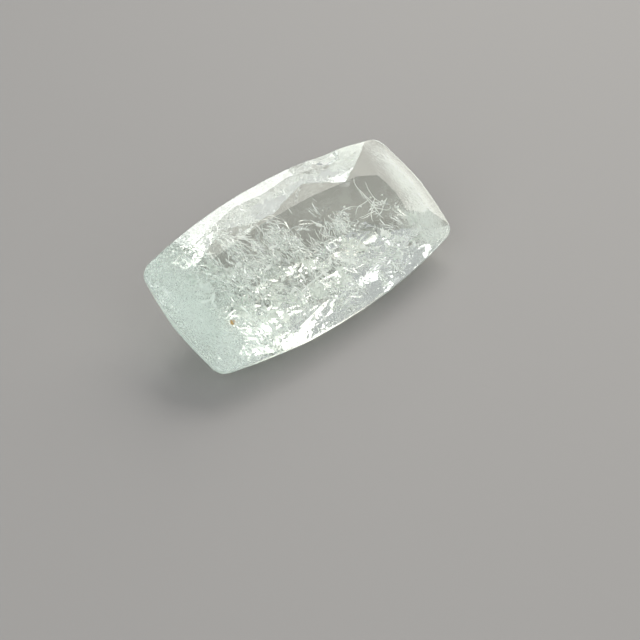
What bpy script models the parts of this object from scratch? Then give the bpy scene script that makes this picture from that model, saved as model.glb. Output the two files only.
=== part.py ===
"""A cut green beryl: one polished, elongated cushion gemstone that lies on a facet of its underside.

The stone is cut the way a lapidary cuts it. A rough block is ground back one flat facet at a time: the
girdle first, which is the narrow wall round the widest part, then the pavilion below it and the crown
above it. While it is being cut, the stone is level: +X runs along it, +Z points out of the table, and the
origin is at its centre, halfway up the girdle. Its parent, an empty, then lays it over on its resting
facet, so that the world's origin is at the bottom, under the middle of the stone. Lengths are in metres.
"""

import math

import bmesh
import bpy
from mathutils import Matrix, Vector

MM = 0.001

# The outline at the girdle, with bowed sides and rounded corners
LENGTH = 18.9 * MM
WIDTH = 9.55 * MM
SIDE_BOW = 1.1 * MM  # how far the middle of a long side stands out past its two ends
END_BOW = 0.44 * MM
CORNER_RADIUS = 0.85 * MM
GIRDLE_HEIGHT = 0.32 * MM
GIRDLE_AZIMUTHS = (0, 4.5, 9, 16, 29, 42, 55, 68, 78, 81, 84, 87, 90)

# The crown. An azimuth is given in the first quarter only, and the facet is cut on every quarter.
TABLE_HEIGHT = 1.0 * MM  # above the middle of the girdle
TABLE_HALF_LENGTH = 7.0 * MM
TABLE_HALF_WIDTH = 2.3 * MM
MAIN_SLOPE = 16.5
CORNER_MAIN_SLOPE = 15.0
STAR_SLOPE = 13.5

# Each break facet: its azimuth and its slope
BREAKS = ((90, 25), (83.5, 25), (77, 25), (62, 22), (31, 18), (9, 24))

# Each other crown facet: its azimuth, its slope, and how far from the centre it meets the table's level
MAINS_AND_STARS = (
    (87, MAIN_SLOPE, TABLE_HALF_WIDTH + 0.08 * MM),
    (64, CORNER_MAIN_SLOPE, 4.2 * MM),
    (90, STAR_SLOPE, TABLE_HALF_WIDTH),
    (84.5, STAR_SLOPE, TABLE_HALF_WIDTH + 0.17 * MM),
    (9, STAR_SLOPE, TABLE_HALF_LENGTH - 0.08 * MM),
)

# The pavilion
KEEL_DEPTH = 3.5 * MM  # below the middle of the girdle
RESTING_SLOPE = 26.3  # the two facets that meet in the keel; the stone rests on one of them
LOWER_SLOPE = 36.0
UPPER_SLOPE = 44.0
END_SLOPE = 45.0
UPPER_AZIMUTHS = (90, 80, 60, 33)
END_AZIMUTH = 7

# Each lower facet: its azimuth, and how far out and how deep a point on it is
LOWER_FACETS = ((85, 3.4 * MM, 1.68 * MM), (58, 5.6 * MM, 1.72 * MM), (24, 7.1 * MM, 2.1 * MM))

# A shallow chip in the far edge of the girdle, the shape of the ball that would fill it
CHIP_X = 5.1 * MM
CHIP_BALL_RADIUS = 4.0 * MM
CHIP_DEPTH = 0.15 * MM
CHIP_FACING = 83.0  # azimuth
CHIP_RISE = 64.0  # how far the chip's face is tipped up

ROUGH_LENGTH = 23.0 * MM
ROUGH_WIDTH = 12.0 * MM
ROUGH_HEIGHT = 11.0 * MM
UPRIGHT = 90
SIDE_AZIMUTH = 90
MERGE = 0.0002 * MM
PALE_SEA_GREEN = (0.80, 0.92, 0.87, 1.0)  # linear
BERYL_IOR = 1.577
POLISH_ROUGHNESS = 0.02


def circle_of_arc(half_chord, bow):
    """The radius of the arc that stands out by bow over a chord."""
    return (half_chord**2 + bow**2) / (2 * bow)


def folded(azimuth):
    """The azimuth's mirror image in the first quarter, because the outline is symmetric."""
    azimuth = abs((azimuth + 180) % 360 - 180)
    return min(azimuth, 180 - azimuth)


def outline_reach(azimuth):
    """How far from the centre the outline's tangent lies that faces this way."""
    corner_x = LENGTH / 2 - END_BOW
    corner_y = WIDTH / 2 - SIDE_BOW
    side_radius = circle_of_arc(corner_x, SIDE_BOW)
    end_radius = circle_of_arc(corner_y, END_BOW)
    side_turn = math.degrees(math.asin(corner_x / side_radius))
    end_turn = math.degrees(math.asin(corner_y / end_radius))
    angle = folded(azimuth)
    facing = Vector((math.cos(math.radians(angle)), math.sin(math.radians(angle))))
    if angle >= 90 - side_turn:
        return side_radius + Vector((0, WIDTH / 2 - side_radius)).dot(facing)
    if angle <= end_turn:
        return end_radius + Vector((LENGTH / 2 - end_radius, 0)).dot(facing)
    side_end = math.radians(90 - side_turn)
    end_end = math.radians(end_turn)
    off_side = Vector((math.cos(side_end), math.sin(side_end)))
    off_end = Vector((math.cos(end_end), math.sin(end_end)))
    inward = (off_side + off_end) * CORNER_RADIUS / (1 + off_side.dot(off_end))
    return CORNER_RADIUS + (Vector((corner_x, corner_y)) - inward).dot(facing)


def mirrored(azimuth):
    """The same facet on every quarter of the stone, each azimuth once."""
    return sorted({azimuth % 360, (180 - azimuth) % 360, -azimuth % 360, (180 + azimuth) % 360})


def cut_facet(stone, azimuth, slope, reach, level):
    """Grinds one flat facet. Its plane faces azimuth, is slope degrees off level, and passes through the
    point that is reach from the centre at this level. A negative slope faces down."""
    turn = math.radians(azimuth)
    tip = math.radians(abs(slope))
    outward = Vector((math.cos(turn) * math.sin(tip), math.sin(turn) * math.sin(tip), math.cos(tip)))
    if slope < 0:
        outward.z = -outward.z
    bmesh.ops.bisect_plane(
        stone,
        geom=[*stone.verts, *stone.edges, *stone.faces],
        dist=MERGE,
        plane_co=(math.cos(turn) * reach, math.sin(turn) * reach, level),
        plane_no=outward,
        clear_outer=True,
    )
    rim = [edge for edge in stone.edges if edge.is_boundary]
    if rim:
        bmesh.ops.contextual_create(stone, geom=rim)


def cut_tier(stone, azimuths, slope, level):
    """A facet on every quarter for each azimuth, each of which meets the outline at this level."""
    for azimuth in azimuths:
        for turned in mirrored(azimuth):
            cut_facet(stone, turned, slope, outline_reach(turned), level)


def cut_girdle(stone):
    """Many narrow upright facets that follow the outline."""
    cut_tier(stone, GIRDLE_AZIMUTHS, UPRIGHT, 0)


def cut_pavilion(stone):
    """The underside: steep facets at the girdle, then shallower ones that meet in a keel."""
    below_girdle = -GIRDLE_HEIGHT / 2
    cut_tier(stone, UPPER_AZIMUTHS, -UPPER_SLOPE, below_girdle)
    cut_tier(stone, (END_AZIMUTH,), -END_SLOPE, below_girdle)
    for azimuth, reach, depth in LOWER_FACETS:
        for turned in mirrored(azimuth):
            cut_facet(stone, turned, -LOWER_SLOPE, reach, -depth)
    for side in mirrored(SIDE_AZIMUTH):
        cut_facet(stone, side, -RESTING_SLOPE, 0, -KEEL_DEPTH)


def cut_crown(stone):
    """The top: break facets at the girdle, the big flat table, mains and stars."""
    for azimuth, slope in BREAKS:
        cut_tier(stone, (azimuth,), slope, GIRDLE_HEIGHT / 2)
    cut_facet(stone, 0, 0, 0, TABLE_HEIGHT)
    for azimuth, slope, reach in MAINS_AND_STARS:
        for turned in mirrored(azimuth):
            cut_facet(stone, turned, slope, reach, TABLE_HEIGHT)


def cut_stone():
    """The whole stone, level, as one closed mesh."""
    stone = bmesh.new()
    block = Matrix.Diagonal((ROUGH_LENGTH, ROUGH_WIDTH, ROUGH_HEIGHT, 1))
    bmesh.ops.create_cube(stone, size=1, matrix=block)
    cut_girdle(stone)
    cut_pavilion(stone)
    cut_crown(stone)
    bmesh.ops.recalc_face_normals(stone, faces=stone.faces)
    mesh = bpy.data.meshes.new("cut_beryl")
    stone.to_mesh(mesh)
    stone.free()
    return mesh


def chip_ball():
    """The ball that scoops the chip out of the girdle's upper edge."""
    facing = math.radians(CHIP_FACING)
    rise = math.radians(CHIP_RISE)
    outward = Vector((math.cos(facing) * math.cos(rise), math.sin(facing) * math.cos(rise), math.sin(rise)))
    edge_y = (outline_reach(CHIP_FACING) - CHIP_X * math.cos(facing)) / math.sin(facing)
    edge = Vector((CHIP_X, edge_y, GIRDLE_HEIGHT / 2))
    ball = bmesh.new()
    centre = Matrix.Translation(edge + outward * (CHIP_BALL_RADIUS - CHIP_DEPTH))
    bmesh.ops.create_icosphere(ball, subdivisions=4, radius=CHIP_BALL_RADIUS, matrix=centre)
    mesh = bpy.data.meshes.new("chip_ball")
    ball.to_mesh(mesh)
    ball.free()
    return mesh


def beryl_material():
    """Clear, very pale green and polished."""
    material = bpy.data.materials.new("pale green beryl")
    material.use_nodes = True
    shader = material.node_tree.nodes["Principled BSDF"]
    shader.inputs["Base Color"].default_value = PALE_SEA_GREEN
    shader.inputs["Roughness"].default_value = POLISH_ROUGHNESS
    shader.inputs["Metallic"].default_value = 0.0
    shader.inputs["IOR"].default_value = BERYL_IOR
    shader.inputs["Transmission Weight"].default_value = 1.0
    return material


def new_collection(name):
    """A collection of this name in the scene."""
    collection = bpy.data.collections.new(name)
    bpy.context.scene.collection.children.link(collection)
    return collection


def main():
    for old in list(bpy.data.objects):
        bpy.data.objects.remove(old)
    parts = new_collection("green_beryl_gemstone")
    cutters = new_collection("cutters")

    resting = bpy.data.objects.new("resting_pose", None)
    resting.rotation_euler.x = math.radians(RESTING_SLOPE)
    resting.location.z = KEEL_DEPTH * math.cos(math.radians(RESTING_SLOPE))
    parts.objects.link(resting)

    stone = bpy.data.objects.new("cut_beryl", cut_stone())
    stone.data.materials.append(beryl_material())
    stone.parent = resting
    parts.objects.link(stone)

    ball = bpy.data.objects.new("chip_ball", chip_ball())
    ball.parent = resting
    ball.hide_render = True
    ball.display_type = "WIRE"
    cutters.objects.link(ball)

    chip = stone.modifiers.new("chip", "BOOLEAN")
    chip.operation = "DIFFERENCE"
    chip.object = ball


main()
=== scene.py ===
"""The green beryl gemstone under studio light: the polished stone and everything that grew inside it.

The stone was cut level and then laid over on one facet of its underside, so the places inside it are
given as the lapidary sees them: x runs along the stone, y runs towards its far side, z points out of the
table, and the origin is in the middle of the girdle. LYING turns such a place to where it lies on the
floor.
"""

import itertools
import math
import random

import bmesh
import bpy
from mathutils import Matrix, Vector, noise
from mathutils.bvhtree import BVHTree


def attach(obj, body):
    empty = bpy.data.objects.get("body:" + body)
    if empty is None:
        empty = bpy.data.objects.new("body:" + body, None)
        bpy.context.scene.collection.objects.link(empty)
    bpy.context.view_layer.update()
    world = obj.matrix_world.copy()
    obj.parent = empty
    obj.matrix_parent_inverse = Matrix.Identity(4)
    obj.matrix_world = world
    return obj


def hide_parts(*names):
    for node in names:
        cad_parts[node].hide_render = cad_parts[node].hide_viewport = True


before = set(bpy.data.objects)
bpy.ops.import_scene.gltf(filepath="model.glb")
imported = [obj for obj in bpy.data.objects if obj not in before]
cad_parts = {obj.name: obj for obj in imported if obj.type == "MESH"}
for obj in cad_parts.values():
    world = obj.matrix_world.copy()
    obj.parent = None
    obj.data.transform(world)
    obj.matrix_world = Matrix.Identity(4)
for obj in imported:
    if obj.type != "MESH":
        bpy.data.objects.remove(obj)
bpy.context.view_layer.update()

MM = 0.001

# How the stone lies, as it is cut
KEEL_DEPTH = 3.5 * MM
RESTING_SLOPE = math.radians(26.3)
GIRDLE_HEIGHT = 0.32 * MM
GIRDLE_LIFT = KEEL_DEPTH * math.cos(RESTING_SLOPE)  # how high the middle of the girdle is
LYING = Matrix.Translation((0, 0, GIRDLE_LIFT)) @ Matrix.Rotation(RESTING_SLOPE, 4, "X")

# The stone's surface
MERGE = 0.0005 * MM
FLAT = math.radians(0.4)  # faces that meet at less than this are one facet
SHARP = math.radians(1.5)  # facets that meet at more than this have a worn line between them
EDGE_WEAR = 0.03 * MM  # the width of that line
SHORTEST_WORN = EDGE_WEAR * 2.5  # an edge stays sharp if it, or one that meets it, is shorter
FLOOR_GAP = 0.02 * MM  # the air that stays between a polished facet and the floor
POLISH_ROUGHNESS = 0.012
GIRDLE_ROUGHNESS = 0.35
POLISH_SWELL = 0.06 * MM  # how far the hand-polished facets of the underside are from flat
SWELL_SIZE = 1.6 * MM
SWELL_TOP = -0.3 * MM  # the swell starts at this height and is full at the next
SWELL_FULL = -1.2 * MM

# The stone's glass
BERYL_IOR = 1.577
ABSORPTION = 3.0
GREEN_START = -3.0 * MM  # the left end is greener: it starts at this x and is greenest at the next
GREEN_FULL = -8.5 * MM

# What grew inside
CLEARANCE = 0.05 * MM  # no strewn copy of what grew inside comes nearer to the surface than this
FLUID_IOR = 1.33
BUBBLE_PATCH = 0.25 * MM  # the size of the patches in silk and veils
FILM_PATCH = 0.35 * MM
RUST_PATCH = 0.08 * MM
MICA_PATCH = 0.05 * MM

NEEDLE_KINDS = 8
NEEDLE_SEED = 4
NEEDLE_LENGTH = 0.6 * MM
NEEDLE_WIDTH = 0.056 * MM
NEEDLE_PROFILE = (0.25, 0.7, 1.0, 1.1, 0.9, 0.6, 0.2)  # its width from end to end
NEEDLE_WAVES = (0.3, 1.1)  # how many waves one has along it
NEEDLE_WANDER = (0.03, 0.11)  # how far it wanders to the sides, as a share of its length
FULL_TURN = 6.28  # radians, near enough
SLOWER_TURN = 5.0  # a needle waves a little less one way than the other

FLAKE_LENGTH = 0.3 * MM
FLAKE_SLIMNESS = 0.42  # its width, as a share of its length
FLAKE_CURLS = (0.9, 1.5, 2.1)
FLAKE_RISE = 0.12 * MM
FLAKE_RIPPLE = 0.02 * MM
FLAKE_THICKNESS = 0.008 * MM

FEATHER_KINDS = 5
FEATHER_RADIUS = 0.38 * MM
FEATHER_THICKNESS = 0.006 * MM

# The grains of a cloud are drawn coarser than they are, so that they show
GRAIN_RADIUS = 0.022 * MM
GRAIN_DEPTH = GRAIN_RADIUS * 1.5
GRAIN_SHAPE = (1.0, 0.6, 0.8)  # how far it is flattened each way

# How the copies in a tuft are strewn round its middle, and how far each leans off its heading
TUFT_SPREAD = 0.26 * MM
TUFT_STRAY = 0.28
MOST_TRIES = 30  # for each copy, because some places turn out to be outside the stone

# Long needles and lenses
LONG_NEEDLE_WIDTH = 0.065 * MM
LENS_WIDTH = 0.13 * MM
SPINDLE_TIP = 0.02 * MM  # how thin both are at their ends
SPINDLE_STEPS = 3
SPINDLE_BOW = 0.04  # how far one bows to the side, as a share of its length

# Veins and crumbs of the cracks, in millimetres unless they say otherwise
CRACK_SEED = 21
VEIN_STEP = 0.2
VEIN_WANDER = 0.25  # how far each step turns, in radians
VEIN_TILT = (-0.2, 0.1)  # how far each step sinks or rises, as a share of the step
VEIN_WIDTHS = (0.03, 0.08)
VEIN_TIP = 0.015
FORK_TURN = (0.6, 1.5)  # radians
FORK_LENGTH = (0.15, 0.5)  # as a share of the first vein's length
CRUMBS = 8  # how many there are
CRUMBS_X = (4.5, 1.2)  # the middle of where they lie, and their spread
CRUMBS_Y = (0.2, 0.6)
CRUMBS_Z = 0.25
CRUMB_REACH = 0.08  # from its middle to its ends
CRUMB_BEND = 0.4  # how far its ends bend aside, as a share of its reach
CRUMB_WIDTHS = (0.03, 0.13, 0.03)

# Grains of other minerals
IRON_PLACE = (-6.8, -1.6, 0.45)  # mm
IRON_RADIUS = 0.15 * MM
MICA_PLACE = (-5.8, -4.15, 0.0)  # mm
MICA_RADIUS = 0.05 * MM
LUMPINESS = (0.72, 1.12)  # how far each corner of a grain is from its middle, as a share of its radius

# Camera, floor and lights
CAMERA_PLACE = (-0.0503, -0.05567, 0.06594)
CAMERA_AIM = (0.5036, 0.5424, -0.6725)
CAMERA_RIGHT = (0.733, -0.680, 0)
FOCAL_LENGTH = 95.6  # mm
SENSOR_WIDTH = 36  # mm
NEAREST_SEEN = 0.001
FLOOR_SIZE = 1.6
LIGHT_DISTANCE = 0.6
ROOM_BRIGHTNESS = 0.62
CLEAR_BOUNCES = 48  # through the clear stone
MILKY_BOUNCES = 24  # between the grains
MIRROR_BOUNCES = 10

# Where each kind is strewn: a weight, a middle and a spread, in millimetres
SILK_CLUSTERS = [
    (5, (-4.6, 0.4, -0.1), (1.4, 1.1, 0.5)),
    (5, (-1.4, 1.0, -0.3), (1.4, 0.8, 0.6)),
    (4, (-3.6, -2.4, -0.1), (2.0, 0.9, 0.35)),
    (4, (0.8, -2.2, -0.2), (2.2, 1.0, 0.4)),
    (1, (2.8, 0.2, -0.2), (0.5, 0.4, 0.3)),
    (1.5, (5.0, -2.2, -0.3), (1.2, 0.8, 0.5)),
    (1, (-6.5, 0.5, -0.2), (0.8, 1.8, 0.4)),
    (1, (-6.4, -3.4, 0.0), (1.2, 0.5, 0.2)),
    (0.25, (5.5, 0.7, 0.1), (0.5, 0.6, 0.2)),
]
LEFT_CLOUD = [(1, (-7.8, -0.4, -0.2), (0.9, 2.4, 0.45))]
DUST_CLUSTERS = [
    (5, (8.5, 0.6, -0.2), (0.4, 1.8, 0.4)),
    (5, (7.7, -2.5, -0.1), (0.7, 0.9, 0.3)),
    (4, (-3.5, -2.9, -0.2), (2.6, 0.9, 0.5)),
    (0.3, (-4.0, 0.6, -0.3), (1.6, 1.2, 0.5)),
    (1.5, (2.5, -2.7, -0.3), (3.0, 0.8, 0.5)),
]
FEATHER_CLUSTERS = [
    (4, (-3.6, -2.4, -0.4), (2.2, 1.0, 0.5)),
    (3, (0.5, -2.0, -0.5), (2.2, 1.0, 0.6)),
    (0.7, (-3.5, 0.6, -0.5), (2.0, 1.2, 0.6)),
    (2, (-6.0, 1.5, -0.2), (1.3, 1.5, 0.5)),
    (2, (5.2, -2.4, -0.4), (1.3, 0.8, 0.5)),
]
SLIVER_CLUSTERS = [
    (3, (0.3, -1.9, 0.35), (1.4, 0.3, 0.15)),
    (1, (0.6, -3.6, 0.0), (1.2, 0.3, 0.1)),
    (0.5, (4.9, -3.7, 0.0), (0.4, 0.2, 0.1)),
    (3, (4.0, -2.2, 0.2), (1.2, 0.5, 0.2)),
    (1, (-4.5, -3.0, 0.1), (1.4, 0.6, 0.2)),
    (2, (-6.8, 1.0, 0.1), (0.8, 1.3, 0.2)),
    (1, (-3.0, 0.9, 0.3), (2.2, 0.7, 0.3)),
]

# Long needles and lenses: a start, a heading in degrees, a length and a fall, in millimetres
LONG_NEEDLES = [
    (-5.5, 0.5, 0.5, -65, 2.0, 0.1),
    (-4.0, -2.0, 0.4, -70, 1.7, 0.3),
    (0.5, 2.0, 0.7, 80, 0.4, 0.1),
    (-1.2, 2.0, 0.3, -75, 1.2, 0.2),
    (-3.0, 1.7, 0.3, -60, 0.6, 0.2),
]
LENSES = [
    (-0.5, -3.6, 0.0, 8, 2.0, 0.0),
    (-0.5, -4.0, 0.0, 8, 2.0, 0.0),
    (-2.5, -2.3, 0.2, 8, 3.0, 0.0),
    (1.5, -2.0, 0.0, 18, 2.8, 0.0),
    (2.2, -3.2, 0.0, 12, 1.3, 0.0),
    (4.5, -4.0, 0.0, 18, 1.0, 0.0),
]

# The cracks: a start in millimetres, a heading in degrees, a length in millimetres and its branches
CRACKS = [
    ((5.5, 2.0, 0.3), -135, 2.8, 10),
    ((6.0, 1.5, 0.3), -100, 2.2, 8),
    ((6.5, 0.0, 0.3), -145, 1.6, 6),
    ((2.7, 0.5, 0.3), -80, 0.7, 2),
    ((6.0, -2.3, 0.2), -110, 1.0, 4),
]

# Which way each kind points: most of the silk runs across the stone
ACROSS = (0.35, -0.93, -0.1)
FROM_THE_TABLE = (0, 0.3, 1)
NEARLY_UPRIGHT = (0.1, 0.3, 1)
UPRIGHT = (0, 0, 1)


def colour(code):
    """An sRGB hex colour as the linear values that a shader takes."""
    channels = [int(code[i : i + 2], 16) / 255 for i in (1, 3, 5)]
    return (*(c / 12.92 if c <= 0.04045 else ((c + 0.055) / 1.055) ** 2.4 for c in channels), 1.0)


def add_node(tree, kind, settings=None, links=None):
    """Adds a node, sets its own settings and sockets, and links the sockets named in links."""
    node = tree.nodes.new(kind)
    for name, value in (settings or {}).items():
        if name in node.inputs:
            node.inputs[name].default_value = value
        else:
            setattr(node, name, value)
    for name, source in (links or {}).items():
        tree.links.new(source, node.inputs[name])
    return node


def new_material(name):
    """A material with a Principled shader: the material, its tree and the shader."""
    material = bpy.data.materials.new(name)
    material.use_nodes = True
    tree = material.node_tree
    return material, tree, tree.nodes["Principled BSDF"]


def deselect():
    """Leaves nothing selected, because an operator acts on all that is selected."""
    bpy.ops.object.select_all(action="DESELECT")


def edit():
    """Starts edit mode on the active piece."""
    bpy.ops.object.mode_set(mode="EDIT")


def leave_edit():
    """Leaves edit mode."""
    bpy.ops.object.mode_set(mode="OBJECT")


def placed(piece, material):
    """Puts the piece's place into its mesh and gives it its material. It rides with the stone."""
    deselect()
    bpy.context.view_layer.objects.active = piece
    piece.select_set(True)
    bpy.ops.object.transform_apply(location=True, rotation=True, scale=True)
    piece.data.materials.clear()
    piece.data.materials.append(material)
    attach(piece, "root")


# ---------------------------------------------------------------- materials


def beryl():
    """Beryl, cut and polished. It is clear and glassy, with a sea-green tint that deepens with the way
    that light takes through it and is a little stronger at the left end. The facets of its underside
    swell a little, because they were polished by hand, which breaks up what they mirror. The girdle is
    only finely ground, so it looks frosted."""
    material, tree, shader = new_material("polished beryl")
    shader.inputs["Transmission Weight"].default_value = 1.0
    shader.inputs["IOR"].default_value = BERYL_IOR

    # The place in the stone, as the lapidary sees it
    lying = add_node(tree, "ShaderNodeTexCoord")
    level = add_node(
        tree,
        "ShaderNodeMapping",
        {
            "vector_type": "TEXTURE",
            "Location": (0, 0, GIRDLE_LIFT),
            "Rotation": (RESTING_SLOPE, 0, 0),
        },
        {"Vector": lying.outputs["Object"]},
    )
    axes = add_node(tree, "ShaderNodeSeparateXYZ", links={"Vector": level.outputs["Vector"]})

    # The tint, greener towards the left end
    left = add_node(
        tree,
        "ShaderNodeMapRange",
        {"interpolation_type": "SMOOTHSTEP", "From Min": GREEN_START, "From Max": GREEN_FULL},
        {"Value": axes.outputs["X"]},
    )
    tint = add_node(
        tree,
        "ShaderNodeMix",
        {"data_type": "RGBA", "A": colour("#F6F9F2"), "B": colour("#E6F2EA")},
        {"Factor": left.outputs["Result"]},
    )
    tree.links.new(tint.outputs["Result"], shader.inputs["Base Color"])

    # The frosted girdle, which turns polished over the last tenth of its height at either rim
    height = add_node(tree, "ShaderNodeMath", {"operation": "ABSOLUTE"}, {0: axes.outputs["Z"]})
    polish = add_node(
        tree,
        "ShaderNodeMapRange",
        {
            "From Min": GIRDLE_HEIGHT * 0.4,
            "From Max": GIRDLE_HEIGHT * 0.5,
            "To Min": GIRDLE_ROUGHNESS,
            "To Max": POLISH_ROUGHNESS,
        },
        {"Value": height.outputs["Value"]},
    )
    tree.links.new(polish.outputs["Result"], shader.inputs["Roughness"])

    # The swell of the underside
    swell = add_node(
        tree,
        "ShaderNodeTexNoise",
        {"Scale": 1 / SWELL_SIZE, "Detail": 2.0, "Roughness": 0.5, "Distortion": 0.5},
        {"Vector": level.outputs["Vector"]},
    )
    below = add_node(
        tree,
        "ShaderNodeMapRange",
        {"From Min": SWELL_TOP, "From Max": SWELL_FULL, "To Min": 0.0, "To Max": 1.0},
        {"Value": axes.outputs["Z"]},
    )
    uneven = add_node(
        tree,
        "ShaderNodeMath",
        {"operation": "MULTIPLY"},
        {0: swell.outputs["Fac"], 1: below.outputs["Result"]},
    )
    polished = add_node(
        tree,
        "ShaderNodeBump",
        {"Strength": 1.0, "Distance": POLISH_SWELL},
        {"Height": uneven.outputs["Value"]},
    )
    tree.links.new(polished.outputs["Normal"], shader.inputs["Normal"])

    depth = add_node(
        tree, "ShaderNodeVolumeAbsorption", {"Color": colour("#9CE3D2"), "Density": ABSORPTION}
    )
    tree.links.new(depth.outputs["Volume"], tree.nodes["Material Output"].inputs["Volume"])
    return material


def silk(name, silver, smoothest, roughest):
    """Growth tubes and healed cracks, which gem cutters call silk and veils. Their walls mirror light,
    so some flash silvery and some stay grey, and where they are full of tiny bubbles they are white."""
    material, tree, shader = new_material(name)
    shader.inputs["Metallic"].default_value = silver
    shader.inputs["IOR"].default_value = FLUID_IOR
    place = add_node(tree, "ShaderNodeTexCoord").outputs["Object"]
    patches = add_node(
        tree, "ShaderNodeTexNoise", {"Scale": 1 / BUBBLE_PATCH, "Detail": 3.0}, {"Vector": place}
    )
    white = add_node(
        tree,
        "ShaderNodeMix",
        {"data_type": "RGBA", "A": colour("#FCFEFD"), "B": colour("#FFFFFF")},
        {"Factor": patches.outputs["Fac"]},
    )
    tree.links.new(white.outputs["Result"], shader.inputs["Base Color"])
    rough = add_node(
        tree,
        "ShaderNodeMapRange",
        {"To Min": smoothest, "To Max": roughest},
        {"Value": patches.outputs["Fac"]},
    )
    tree.links.new(rough.outputs["Result"], shader.inputs["Roughness"])
    return material


def feather_film():
    """The thin film of air and fluid in a healed crack. It shimmers where it faces the light and veils
    what is behind it."""
    material, tree, shader = new_material("healed crack film")
    shader.inputs["Base Color"].default_value = colour("#FBFDFB")
    shader.inputs["Transmission Weight"].default_value = 0.7
    shader.inputs["IOR"].default_value = FLUID_IOR
    place = add_node(tree, "ShaderNodeTexCoord").outputs["Object"]
    patches = add_node(
        tree,
        "ShaderNodeTexNoise",
        {"Scale": 1 / FILM_PATCH, "Detail": 4.0, "Roughness": 0.6},
        {"Vector": place},
    )
    rough = add_node(
        tree,
        "ShaderNodeMapRange",
        {"To Min": 0.15, "To Max": 0.5},
        {"Value": patches.outputs["Fac"]},
    )
    tree.links.new(rough.outputs["Result"], shader.inputs["Roughness"])
    return material


def iron_stain():
    """A grain of iron oxide, orange-brown and dull."""
    material, tree, shader = new_material("iron oxide")
    shader.inputs["Roughness"].default_value = 0.7
    place = add_node(tree, "ShaderNodeTexCoord").outputs["Object"]
    patches = add_node(
        tree, "ShaderNodeTexNoise", {"Scale": 1 / RUST_PATCH, "Detail": 2.0}, {"Vector": place}
    )
    rust = add_node(
        tree,
        "ShaderNodeMix",
        {"data_type": "RGBA", "A": colour("#B07A28"), "B": colour("#E8BC6A")},
        {"Factor": patches.outputs["Fac"]},
    )
    tree.links.new(rust.outputs["Result"], shader.inputs["Base Color"])
    return material


def dark_mica():
    """A grain of mica, grey-brown and slightly shiny."""
    material, tree, shader = new_material("dark mica")
    shader.inputs["Roughness"].default_value = 0.35
    place = add_node(tree, "ShaderNodeTexCoord").outputs["Object"]
    patches = add_node(
        tree, "ShaderNodeTexNoise", {"Scale": 1 / MICA_PATCH, "Detail": 2.0}, {"Vector": place}
    )
    brown = add_node(
        tree,
        "ShaderNodeMix",
        {"data_type": "RGBA", "A": colour("#3C3A33"), "B": colour("#77705F")},
        {"Factor": patches.outputs["Fac"]},
    )
    tree.links.new(brown.outputs["Result"], shader.inputs["Base Color"])
    return material


# ---------------------------------------------------------------- the stone


def cut_surface():
    """The stone's own surface, for telling what is inside it."""
    shell = bmesh.new()
    shell.from_mesh(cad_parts["cut_beryl"].data)
    surface = BVHTree.FromBMesh(shell)
    shell.free()
    return surface


SURFACE = cut_surface()


def inside(point, margin=CLEARANCE):
    """Whether a point on the floor's axes is inside the stone, with this much stone round it."""
    nearest, normal, _, distance = SURFACE.find_nearest(point)
    return (point - nearest).dot(normal) < 0 and distance > margin


def polished_stone():
    """The cut stone with a fine worn line along every meeting of two facets, which catches the light."""
    stone = bpy.data.objects.new("polished_stone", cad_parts["cut_beryl"].data.copy())
    bpy.context.scene.collection.objects.link(stone)
    deselect()
    stone.select_set(True)
    bpy.context.view_layer.objects.active = stone
    edit()
    bpy.ops.mesh.select_all(action="SELECT")
    bpy.ops.mesh.remove_doubles(threshold=MERGE)
    bpy.ops.mesh.dissolve_limited(angle_limit=FLAT)
    bpy.ops.mesh.normals_make_consistent(inside=False)
    leave_edit()
    shape = bmesh.new()
    shape.from_mesh(stone.data)
    for edge in shape.edges:
        turned = edge.calc_face_angle(0.0)
        shortest = min(e.calc_length() for v in edge.verts for e in v.link_edges)
        edge.select_set(turned > SHARP and shortest > SHORTEST_WORN)
    shape.select_flush_mode()
    shape.to_mesh(stone.data)
    shape.free()
    edit()
    bpy.ops.mesh.select_mode(type="EDGE")
    bpy.ops.mesh.bevel(offset=EDGE_WEAR / 2, offset_type="OFFSET", segments=2, clamp_overlap=True)
    leave_edit()
    placed(stone, beryl())
    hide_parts("cut_beryl")


# ---------------------------------------------------------------- what grew inside


def thread(name, points, widths, sides=3):
    """A closed thread: a small polygon at the first point, pulled from each point to the next."""
    points = [Vector(p) for p in points]
    deselect()
    along = (points[-1] - points[0]).to_track_quat("Z", "Y")
    bpy.ops.mesh.primitive_circle_add(
        vertices=sides,
        radius=widths[0] / 2,
        fill_type="NGON",
        location=points[0],
        rotation=along.to_euler(),
    )
    strand = bpy.context.object
    strand.name = name
    bpy.ops.object.transform_apply(location=True, rotation=True, scale=True)
    edit()
    bpy.ops.mesh.select_all(action="SELECT")
    for start, end, before, after in zip(points, points[1:], widths, widths[1:]):
        bpy.ops.mesh.extrude_region_move(TRANSFORM_OT_translate={"value": end - start})
        bpy.ops.transform.resize(value=(after / before,) * 3, center_override=end)
    bpy.ops.mesh.select_all(action="SELECT")
    bpy.ops.mesh.normals_make_consistent(inside=False)
    leave_edit()
    return strand


def wavy(rng, length, waves, steps):
    """Points up the z axis, centred on the origin, that wander to the sides."""
    start_x = rng.uniform(0, FULL_TURN)
    start_y = rng.uniform(0, FULL_TURN)
    reach = length * rng.uniform(*NEEDLE_WANDER)
    line = []
    for step in range(steps + 1):
        way = step / steps
        line.append(
            (
                reach * math.sin(start_x + way * waves * FULL_TURN),
                reach * math.cos(start_y + way * waves * SLOWER_TURN),
                (way - 0.5) * length,
            )
        )
    return line


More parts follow.
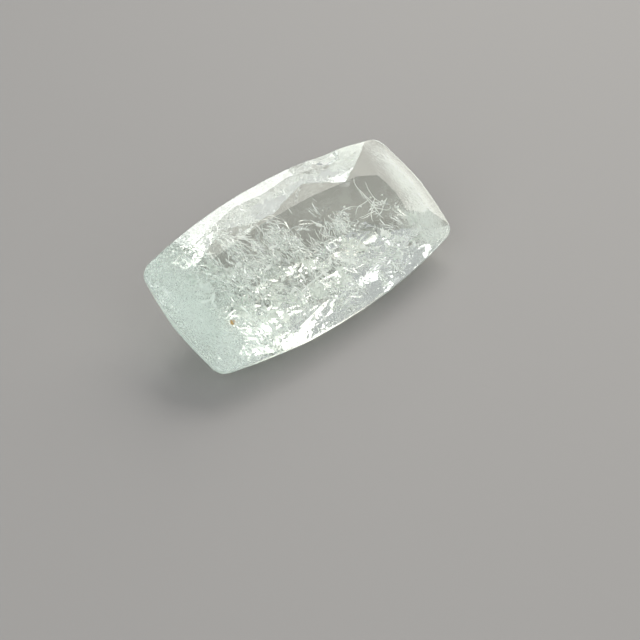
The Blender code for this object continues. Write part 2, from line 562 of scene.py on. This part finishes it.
def needle_shapes():
    """A few slightly wavy needles, thick in the middle and thin at the ends, which are then copied."""
    rng = random.Random(NEEDLE_SEED)
    shapes = []
    for count in range(NEEDLE_KINDS):
        waves = rng.uniform(*NEEDLE_WAVES)
        points = wavy(rng, NEEDLE_LENGTH, waves, len(NEEDLE_PROFILE) - 1)
        widths = [NEEDLE_WIDTH * w for w in NEEDLE_PROFILE]
        strand = thread(f"needle_{count}", points, widths)
        shapes.append(strand.data)
        bpy.data.objects.remove(strand)
    return shapes


def flake_shapes():
    """A few small curled flakes, like nail parings, which are then copied."""
    shapes = []
    for count, curl in enumerate(FLAKE_CURLS):
        deselect()
        bpy.ops.mesh.primitive_grid_add(
            x_subdivisions=6, y_subdivisions=1, size=FLAKE_LENGTH, location=(0, 0, 0)
        )
        flake = bpy.context.object
        flake.name = f"flake_{count}"
        for corner in flake.data.vertices:
            way = corner.co.x / (FLAKE_LENGTH / 2)
            ripple = FLAKE_RIPPLE * math.sin(way * 5 + curl)
            corner.co.y *= FLAKE_SLIMNESS * (1.05 - way * way)
            corner.co.z = FLAKE_RISE * math.cos(way * curl) + ripple
        skin = flake.modifiers.new("thickness", "SOLIDIFY")
        skin.thickness = FLAKE_THICKNESS
        bpy.ops.object.modifier_apply(modifier="thickness")
        shapes.append(flake.data)
        bpy.data.objects.remove(flake)
    return shapes


def feather_shapes(slimness, crumpling):
    """A few small healed cracks, which gem cutters call feathers: thin sheets with a wavy rim, which are
    then copied. Slimness is their width as a share of their length, and a crumpling of 0 is flat."""
    shapes = []
    for count in range(FEATHER_KINDS):
        deselect()
        bpy.ops.mesh.primitive_circle_add(vertices=24, radius=FEATHER_RADIUS, fill_type="TRIFAN")
        feather = bpy.context.object
        feather.name = f"feather_{count}"
        edit()
        bpy.ops.mesh.select_all(action="SELECT")
        bpy.ops.mesh.subdivide(number_cuts=1)
        leave_edit()
        shift = Vector((7.3 * count, 2.9 * count, 0))  # each has its own stretch of the noise
        for corner in feather.data.vertices:
            way = corner.co.normalized()
            # The rim: broad waves, and finer ones on them
            broad_waves = noise.noise(way * 1.5 + shift)
            fine_waves = noise.noise(way * 4 + shift)
            corner.co *= 1 + 0.7 * broad_waves + 0.4 * fine_waves
            corner.co.y *= slimness
            # The sheet: broad crumples, and finer ones on them
            spot = corner.co / FEATHER_RADIUS
            crumple = noise.noise(spot * 1.1 + shift) + 0.3 * noise.noise(spot * 3.5 + shift)
            corner.co.z = crumpling * FEATHER_RADIUS * crumple
        skin = feather.modifiers.new("thickness", "SOLIDIFY")
        skin.thickness = FEATHER_THICKNESS
        bpy.ops.object.modifier_apply(modifier="thickness")
        shapes.append(feather.data)
        bpy.data.objects.remove(feather)
    return shapes


def speck_shapes():
    """A tiny angular grain, which is then copied."""
    deselect()
    bpy.ops.mesh.primitive_cone_add(vertices=3, radius1=GRAIN_RADIUS, depth=GRAIN_DEPTH)
    speck = bpy.context.object
    edit()
    bpy.ops.mesh.select_all(action="SELECT")
    bpy.ops.transform.resize(value=GRAIN_SHAPE, center_override=(0, 0, 0))
    leave_edit()
    shape = speck.data
    bpy.data.objects.remove(speck)
    return [shape]


def place_in(rng, clusters):
    """A place in one of the clusters, as the lapidary sees it, in metres."""
    weights = [weight for weight, _, _ in clusters]
    _, middle, spread = rng.choices(clusters, weights)[0]
    return Vector([rng.gauss(m, s) * MM for m, s in zip(middle, spread)])


def box_corners(shape):
    """The eight corners of the box round a shape."""
    lowest = [min(corner.co[axis] for corner in shape.vertices) for axis in range(3)]
    highest = [max(corner.co[axis] for corner in shape.vertices) for axis in range(3)]
    return [Vector(corner) for corner in itertools.product(*zip(lowest, highest))]


def scattered(name, shapes, count, seed, clusters, heading, stray, sizes, material, tuft=1):
    """One piece made of count copies of the shapes, strewn through the stone in clusters. Each copy
    points along heading, give or take stray, and its size is between the two sizes. Where tuft is more
    than 1, that many copies lie close together and point much the same way."""
    rng = random.Random(seed)
    cloud = bmesh.new()
    corners = [box_corners(shape) for shape in shapes]
    made = 0
    tried = 0
    while made < count and tried < count * MOST_TRIES:
        if tried % tuft == 0:
            middle = place_in(rng, clusters)
            wander = Vector([rng.gauss(0, stray) for _ in range(3)])
            aim = Vector(heading).normalized() + wander
        tried += 1
        spot = middle
        lean = aim
        if tuft > 1:
            spot = middle + Vector([rng.gauss(0, TUFT_SPREAD) for _ in range(3)])
            lean = aim + Vector([rng.gauss(0, TUFT_STRAY) for _ in range(3)])
        turn = lean.to_track_quat("Z", "Y").to_matrix().to_4x4()
        roll = Matrix.Rotation(rng.uniform(0, 2 * math.pi), 4, "Z")
        length = rng.uniform(*sizes)
        breadth = length**0.5
        grow = Matrix.Diagonal((breadth, breadth, length, 1))
        where = LYING @ Matrix.Translation(spot) @ turn @ roll @ grow
        kind = rng.randrange(len(shapes))
        if not all(inside(where @ corner) for corner in corners[kind]):
            continue
        copy = shapes[kind].copy()
        copy.transform(where)
        cloud.from_mesh(copy)
        bpy.data.meshes.remove(copy)
        made += 1
    mesh = bpy.data.meshes.new(name)
    cloud.to_mesh(mesh)
    cloud.free()
    piece = bpy.data.objects.new(name, mesh)
    bpy.context.scene.collection.objects.link(piece)
    placed(piece, material)


def joined(name, strands, material):
    """Several strands made into one piece."""
    deselect()
    for strand in strands:
        strand.select_set(True)
    bpy.context.view_layer.objects.active = strands[0]
    if len(strands) > 1:
        bpy.ops.object.join()
    piece = bpy.context.object
    piece.name = name
    piece.data.name = name
    placed(piece, material)


def silk_needles(name, count, seed, material):
    """Tufts of fine needles."""
    scattered(
        name,
        needle_shapes(),
        count,
        seed,
        SILK_CLUSTERS,
        heading=ACROSS,
        stray=0.38,
        sizes=(0.35, 1.6),
        material=material,
        tuft=14,
    )


def silk_flakes(material):
    """Small curled flakes among the needles."""
    scattered(
        "silk_flakes",
        flake_shapes(),
        count=700,
        seed=12,
        clusters=SILK_CLUSTERS,
        heading=ACROSS,
        stray=0.8,
        sizes=(0.4, 1.3),
        material=material,
        tuft=6,
    )


def feathers(material):
    """Healed cracks at all angles, which veil what is behind them."""
    scattered(
        "feathers",
        feather_shapes(slimness=1.0, crumpling=0.5),
        count=45,
        seed=17,
        clusters=FEATHER_CLUSTERS,
        heading=FROM_THE_TABLE,
        stray=0.5,
        sizes=(0.4, 1.5),
        material=material,
    )


def gleaming_slivers(material):
    """Thin flat openings that lie nearly parallel to the table, so that many gleam together."""
    scattered(
        "gleaming_slivers",
        feather_shapes(slimness=0.3, crumpling=0.1),
        count=50,
        seed=29,
        clusters=SLIVER_CLUSTERS,
        heading=NEARLY_UPRIGHT,
        stray=0.15,
        sizes=(0.3, 1.2),
        material=material,
    )


def dust(name, count, seed, clusters, material):
    """A cloud of tiny grains, which makes the stone milky."""
    scattered(
        name,
        speck_shapes(),
        count,
        seed,
        clusters,
        heading=UPRIGHT,
        stray=1.0,
        sizes=(0.6, 1.6),
        material=material,
    )


def laid(points):
    """Places in the stone, in millimetres as the lapidary sees them, as points on the floor's axes."""
    return [LYING @ (Vector(p) * MM) for p in points]


def streak(x, y, z, heading, length, fall):
    """A slightly bowed line in the stone, in millimetres. It starts at x, y, z, runs along its heading,
    in degrees as seen on the table, and sinks by fall."""
    turn = math.radians(heading)
    line = []
    for step in range(SPINDLE_STEPS + 1):
        way = step / SPINDLE_STEPS
        along = way * length
        aside = SPINDLE_BOW * length * math.sin(way * math.pi)
        line.append(
            (
                x + along * math.cos(turn) - aside * math.sin(turn),
                y + along * math.sin(turn) + aside * math.cos(turn),
                z - way * fall,
            )
        )
    return line


def streaks(name, rows, width, material):
    """Thin spindles, one for each row: the start, the heading, the length and the fall."""
    widths = [SPINDLE_TIP, *[width] * (SPINDLE_STEPS - 1), SPINDLE_TIP]
    strands = []
    for count, row in enumerate(rows):
        strands.append(thread(f"{name}_{count}", laid(streak(*row)), widths, sides=4))
    joined(name, strands, material)


def long_needles(material):
    """The few long straight needles under the table, and a short bright one at its far edge."""
    streaks("long_needles", LONG_NEEDLES, LONG_NEEDLE_WIDTH, material)


def bright_lenses(material):
    """The widest openings, most of them along the near side: long slim lenses that gleam."""
    streaks("bright_lenses", LENSES, LENS_WIDTH, material)


def vein(rng, start, heading, length):
    """A wandering line, nearly parallel to the table: its points, in millimetres."""
    points = [Vector(start)]
    steps = max(2, round(length / VEIN_STEP))
    for _ in range(steps):
        heading += rng.gauss(0, VEIN_WANDER)
        ahead = Vector((math.cos(heading), math.sin(heading), rng.uniform(*VEIN_TILT)))
        points.append(points[-1] + ahead * length / steps)
    return points


def crack(rng, start, heading, length, branches):
    """One healed crack, as the veins along it. Its first vein wanders off along the heading, and each
    later one forks off an earlier one and is shorter."""
    heading = math.radians(heading)
    veins = [vein(rng, start, heading, length)]
    for _ in range(branches):
        fork = rng.choice(rng.choice(veins)[1:])
        side = rng.choice((-1, 1)) * rng.uniform(*FORK_TURN)
        veins.append(vein(rng, fork, heading + side, length * rng.uniform(*FORK_LENGTH)))
    return veins


def crack_veins(material):
    """The healed crack at the right end of the table and a few small ones, each seen as a net of fine
    white veins with crumbs strewn round it."""
    rng = random.Random(CRACK_SEED)
    veins = []
    for start, heading, length, branches in CRACKS:
        veins += crack(rng, start, heading, length, branches)
    strands = []
    for count, points in enumerate(veins):
        widths = [rng.uniform(*VEIN_WIDTHS) * MM for _ in points]
        widths[-1] = VEIN_TIP * MM
        strands.append(thread(f"vein_{count}", laid(points), widths, sides=4))
    for count in range(CRUMBS):
        middle = Vector((rng.gauss(*CRUMBS_X), rng.gauss(*CRUMBS_Y), CRUMBS_Z))
        shifts = (-CRUMB_REACH, 0.0, CRUMB_REACH)
        points = [middle + Vector((shift, CRUMB_BEND * abs(shift), 0)) for shift in shifts]
        widths = [width * MM for width in CRUMB_WIDTHS]
        strands.append(thread(f"crumb_{count}", laid(points), widths, sides=5))
    joined("crack_veins", strands, material)


def grain(name, place, radius, seed, material):
    """A rough grain of another mineral, sealed in the stone."""
    deselect()
    centre = laid([place])[0]
    bpy.ops.mesh.primitive_ico_sphere_add(subdivisions=3, radius=radius, location=centre)
    lump = bpy.context.object
    rng = random.Random(seed)
    for corner in lump.data.vertices:
        corner.co *= rng.uniform(*LUMPINESS)
    joined(name, [lump], material)


# ---------------------------------------------------------------- floor, light and camera


def studio_floor():
    """A plain pale floor, matt so that it mirrors nothing."""
    deselect()
    bpy.ops.mesh.primitive_plane_add(size=FLOOR_SIZE, location=(0, 0, -FLOOR_GAP))
    floor = bpy.context.object
    floor.name = "floor"
    material, _, shader = new_material("matt floor")
    shader.inputs["Base Color"].default_value = colour("#8B8987")
    shader.inputs["Roughness"].default_value = 0.6
    floor.data.materials.append(material)


def softlight(name, azimuth, elevation, reach, brightness, tone):
    """A round soft light that faces the stone from this direction. Reach is how many degrees it is from
    its middle to its rim, as the stone sees it, and a brightness of 1 is as bright as plain white."""
    turn = math.radians(azimuth)
    rise = math.radians(elevation)
    place = LIGHT_DISTANCE * Vector(
        (math.cos(turn) * math.cos(rise), math.sin(turn) * math.cos(rise), math.sin(rise))
    )
    lamp = bpy.data.lights.new(name, "AREA")
    lamp.shape = "DISK"
    lamp.size = 2 * LIGHT_DISTANCE * math.tan(math.radians(reach))
    lamp.energy = brightness * math.pi * math.pi * lamp.size**2 / 4
    lamp.color = colour(tone)[:3]
    light = bpy.data.objects.new(name, lamp)
    bpy.context.scene.collection.objects.link(light)
    light.location = place
    light.rotation_euler = (-place).to_track_quat("-Z", "Y").to_euler()


def studio_light():
    """A big soft light past the stone's right end, a small one behind it, two fainter ones in front and
    at the left, and a plain even room."""
    softlight("window_light", azimuth=22, elevation=31, reach=30, brightness=2.7, tone="#FFFBF2")
    softlight("edge_light", azimuth=51, elevation=43, reach=9, brightness=3.8, tone="#FFFFFF")
    softlight("front_light", azimuth=-98, elevation=38, reach=30, brightness=1.0, tone="#FFFFFF")
    softlight("side_light", azimuth=195, elevation=35, reach=25, brightness=2.0, tone="#FFFFFF")
    room = bpy.data.worlds.new("room")
    room.use_nodes = True
    background = room.node_tree.nodes["Background"]
    background.inputs["Color"].default_value = colour("#E9ECEF")
    background.inputs["Strength"].default_value = ROOM_BRIGHTNESS
    bpy.context.scene.world = room


def portrait_camera():
    """A close view from the near left, looking down at about 42 degrees."""
    forward = Vector(CAMERA_AIM).normalized()
    right = Vector(CAMERA_RIGHT).normalized()
    up = right.cross(forward)
    lens = bpy.data.cameras.new("portrait")
    lens.lens = FOCAL_LENGTH
    lens.sensor_width = SENSOR_WIDTH
    lens.clip_start = NEAREST_SEEN
    camera = bpy.data.objects.new("portrait", lens)
    camera.matrix_world = Matrix((right, up, -forward)).transposed().to_4x4()
    camera.location = CAMERA_PLACE
    bpy.context.scene.collection.objects.link(camera)
    bpy.context.scene.camera = camera


def light_paths():
    """Follows the light far, because it crosses the clear stone many times and wanders between the grains
    that make it milky, and shows colours as they are."""
    scene = bpy.context.scene
    scene.view_settings.view_transform = "Standard"
    scene.cycles.blur_glossy = 0.0  # the light inside the stone stays as sharp as its facets
    scene.cycles.max_bounces = CLEAR_BOUNCES
    scene.cycles.transmission_bounces = CLEAR_BOUNCES
    scene.cycles.glossy_bounces = MIRROR_BOUNCES
    scene.cycles.diffuse_bounces = MILKY_BOUNCES


def main():
    """The floor, the stone, what grew inside it, and the studio."""
    studio_floor()
    polished_stone()
    tubes = silk("silvery growth tubes", silver=0.7, smoothest=0.08, roughest=0.4)
    bubbles = silk("white bubble veil", silver=0.0, smoothest=0.25, roughest=0.6)
    silk_needles("silvery_needles", count=1200, seed=11, material=tubes)
    silk_needles("white_needles", count=900, seed=19, material=bubbles)
    silk_flakes(tubes)
    feathers(feather_film())
    dust("left_cloud", count=48000, seed=13, clusters=LEFT_CLOUD, material=bubbles)
    dust("silk_dust", count=42000, seed=14, clusters=DUST_CLUSTERS, material=bubbles)
    long_needles(bubbles)
    bright_lenses(bubbles)
    gleaming_slivers(bubbles)
    crack_veins(bubbles)
    grain("iron_speck", IRON_PLACE, IRON_RADIUS, seed=3, material=iron_stain())
    grain("mica_speck", MICA_PLACE, MICA_RADIUS, seed=5, material=dark_mica())
    studio_light()
    portrait_camera()
    light_paths()


main()
